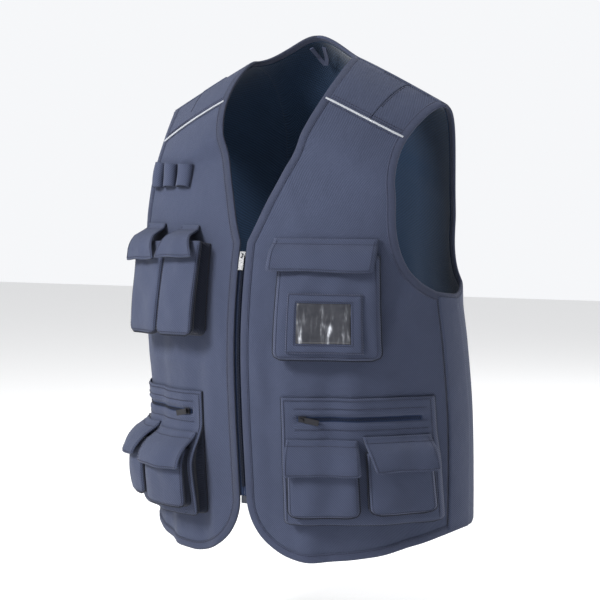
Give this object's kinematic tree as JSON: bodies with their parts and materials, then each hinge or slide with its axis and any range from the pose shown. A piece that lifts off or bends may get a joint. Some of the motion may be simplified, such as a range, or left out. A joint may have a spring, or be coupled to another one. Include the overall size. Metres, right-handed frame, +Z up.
{
  "type": "utility work vest",
  "caption": "Sleeveless navy twill work vest with a front zip, reflective shoulder piping, flap pockets, a window pocket, pen loops and zipped bellows pockets",
  "frame": {"origin": "Midway between the two shoulder ridges, level with the points where the neckline crosses them", "axes": "+Z up; the wearer faces -Y; +X is the wearer's left"},
  "size_m": [0.4768, 0.3554, 0.665],
  "materials": {
    "twill": "matte slate-navy cotton twill",
    "binding": "matte navy woven binding",
    "mesh_lining": "navy knitted mesh",
    "reflective_piping": "grey reflective piping",
    "clear_film": "clear soft film over dark cloth",
    "zip_tape": "dark blue zip tape",
    "zip_steel": "silver zip metal",
    "black_metal": "black painted zip metal"
  },
  "bodies": {
    "vest": {"front_left": "twill", "yoke_left_inner": "twill", "yoke_left_outer": "twill", "piping_left": "reflective_piping", "front_right": "twill", "yoke_right_inner": "twill", "yoke_right_outer": "twill", "piping_right": "reflective_piping", "back_panel": "twill", "edge_binding": "binding", "armhole_binding_left": "binding", "armhole_binding_right": "binding", "lining_front_left": "mesh_lining", "lining_front_right": "mesh_lining", "lining_back": "mesh_lining", "hanger_loop": "binding", "pen_loop_1": "twill", "pen_loop_2": "twill", "pen_loop_3": "twill", "chest_pocket_left_bag": "twill", "chest_pocket_left_flap": "twill", "window_patch": "twill", "window_film": "clear_film", "chest_pocket_right_bag_inner": "twill", "chest_pocket_right_bag_outer": "twill", "chest_pocket_right_flap_inner": "twill", "chest_pocket_right_flap_outer": "twill", "lower_pocket_left_patch": "twill", "lower_pocket_left_tape": "zip_tape", "lower_pocket_left_bag_inner": "twill", "lower_pocket_left_flap_inner": "twill", "lower_pocket_left_bag_outer": "twill", "lower_pocket_left_flap_outer": "twill", "lower_pocket_left_slider": "black_metal", "lower_pocket_right_patch": "twill", "lower_pocket_right_tape": "zip_tape", "lower_pocket_right_bag_inner": "twill", "lower_pocket_right_flap_inner": "twill", "lower_pocket_right_bag_outer": "twill", "lower_pocket_right_flap_outer": "twill", "lower_pocket_right_slider": "black_metal", "zip_left": "zip_tape", "zip_right": "zip_tape", "zip_box": "zip_steel", "zip_slider": "zip_steel"},
    "front_pull": {"zip_pull": "zip_steel"},
    "left_pull": {"lower_pocket_left_pull": "black_metal"},
    "right_pull": {"lower_pocket_right_pull": "black_metal"}
  },
  "joints": [
    {"name": "front_pull_swing", "type": "hinge", "parent": "vest", "child": "front_pull", "pos_m": [0, -0.15759, -0.25125], "axis": [-1, 0, 0], "range_deg": [0, 150]},
    {"name": "left_pull_swing", "type": "hinge", "parent": "vest", "child": "left_pull", "pos_m": [0.0853, -0.15633, -0.45089], "axis": [-0.2192, -0.0034, -0.9757], "range_deg": [0, 150]},
    {"name": "right_pull_swing", "type": "hinge", "parent": "vest", "child": "right_pull", "pos_m": [-0.0853, -0.15633, -0.45089], "axis": [-0.2192, 0.0034, 0.9757], "range_deg": [0, 150]}
  ]
}
